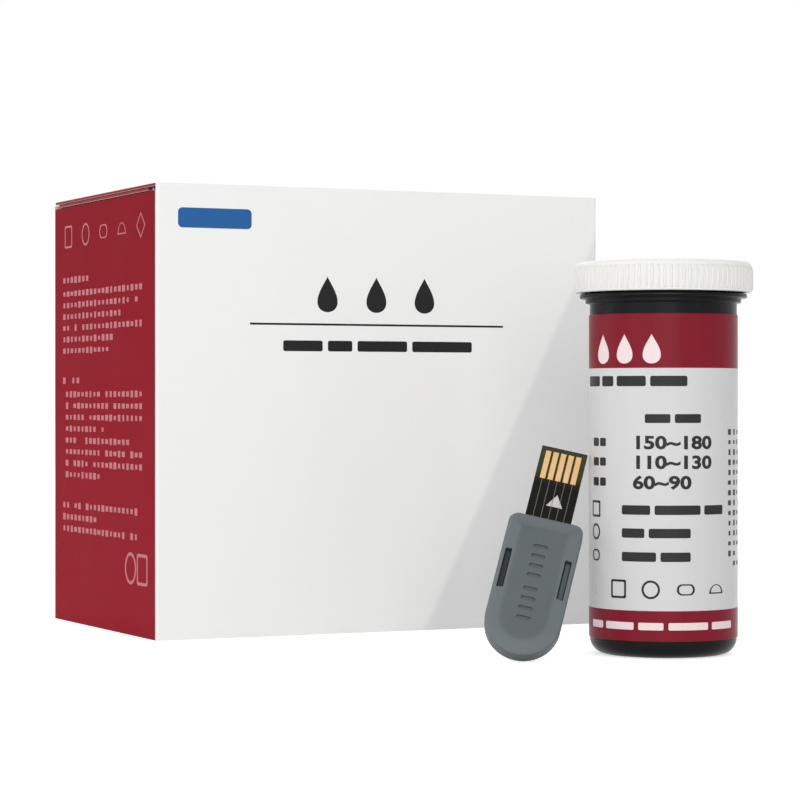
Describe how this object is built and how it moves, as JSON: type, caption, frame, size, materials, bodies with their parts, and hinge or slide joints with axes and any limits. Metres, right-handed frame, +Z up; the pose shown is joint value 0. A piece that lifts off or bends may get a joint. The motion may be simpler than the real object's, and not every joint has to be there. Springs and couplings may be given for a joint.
{
  "type": "hemoglobin test strip kit",
  "caption": "Test strip kit for a hemoglobin analyzer: folding carton with tuck lid, ribbed-cap strip vial and plug-in code card with an edge connector.",
  "frame": {"origin": "centre of the carton's base, on the surface that the kit stands on", "axes": "+Z up; -Y is the side that the carton's front panel, the vial and the code card face; +X to the right seen from the front"},
  "size_m": [0.11, 0.1606, 0.1],
  "materials": {
    "board_white": "coated, satin",
    "board_red": "printed, satin",
    "board_inside": "uncoated, matte",
    "leaflet_paper": "uncoated, matte",
    "tube_black": "moulded, semi-gloss",
    "label_print": "laminated, semi-gloss",
    "cap_white": "moulded, satin",
    "desiccant": "beads",
    "disc_card": "matte",
    "strip_white": "satin",
    "pad_cream": "matte",
    "handle_grey": "moulded, satin",
    "pcb_black": "solder mask, semi-gloss",
    "contact_gold": "plated, polished",
    "chip_black": "matte",
    "capacitor_tan": "matte"
  },
  "bodies": {
    "carton": {"carton_front_panel": "board_white", "carton_back_panel": "board_white", "carton_left_panel": "board_red", "carton_right_panel": "board_red", "carton_glue_flap": "board_inside", "bottom_front_flap": "board_white", "bottom_back_flap": "board_white", "bottom_left_flap": "board_inside", "bottom_right_flap": "board_inside"},
    "lid": {"carton_lid": "board_white"},
    "tuck_flap": {"carton_tuck_flap": "board_white"},
    "dust_flap_left": {"left_dust_flap": "board_white"},
    "dust_flap_right": {"right_dust_flap": "board_white"},
    "leaflet": {"instruction_leaflet": "leaflet_paper"},
    "vial": {"vial_tube": "tube_black", "vial_label": "label_print", "test_strips": "strip_white", "reagent_pads": "pad_cream"},
    "cap": {"vial_cap": "cap_white", "desiccant_beads": "desiccant", "desiccant_disc": "disc_card"},
    "strip": {"drawn_strip": "strip_white", "drawn_strip_pad": "pad_cream"},
    "card": {"card_front_shell": "handle_grey", "card_back_shell": "handle_grey", "card_pcb": "pcb_black", "card_contacts": "contact_gold", "memory_chip": "chip_black", "card_capacitor": "capacitor_tan"}
  },
  "joints": [
    {"name": "lid_hinge", "type": "hinge", "parent": "carton", "child": "lid", "pos_m": [0, 0.035, 0.09928], "axis": [-1, 0, 0], "range_deg": [0, 130]},
    {"name": "tuck_fold", "type": "hinge", "parent": "lid", "child": "tuck_flap", "pos_m": [0, -0.0341, 0.09928], "axis": [-1, 0, 0], "range_deg": [0, 39]},
    {"name": "left_dust_fold", "type": "hinge", "parent": "carton", "child": "dust_flap_left", "pos_m": [-0.055, 0, 0.09842], "axis": [0, -1, 0], "range_deg": [0, 91]},
    {"name": "right_dust_fold", "type": "hinge", "parent": "carton", "child": "dust_flap_right", "pos_m": [0.055, 0, 0.09842], "axis": [0, 1, 0], "range_deg": [0, 91]},
    {"name": "leaflet_lift", "type": "slide", "parent": "carton", "child": "leaflet", "axis": [0, 0, 1], "range_m": [0, 0.03]},
    {"name": "vial_lift", "type": "slide", "parent": "carton", "child": "vial", "axis": [0, 0, 1], "range_m": [0, 0.06]},
    {"name": "cap_lift", "type": "slide", "parent": "vial", "child": "cap", "axis": [0, 0, 1], "range_m": [0, 0.04]},
    {"name": "strip_draw", "type": "slide", "parent": "vial", "child": "strip", "axis": [0, 0, 1], "range_m": [0, 0.024]},
    {"name": "card_slide", "type": "slide", "parent": "carton", "child": "card", "axis": [-1, 0, 0], "range_m": [0, 0.06]}
  ],
  "couplings": [
    {"joint": "tuck_fold", "follows": "lid_hinge", "ratio": 0.3},
    {"joint": "left_dust_fold", "follows": "lid_hinge", "ratio": 0.7},
    {"joint": "right_dust_fold", "follows": "lid_hinge", "ratio": 0.7},
    {"joint": "leaflet_lift", "follows": "lid_hinge", "m_per_rad": 0.0132},
    {"joint": "strip_draw", "follows": "cap_lift", "ratio": 0.6}
  ]
}
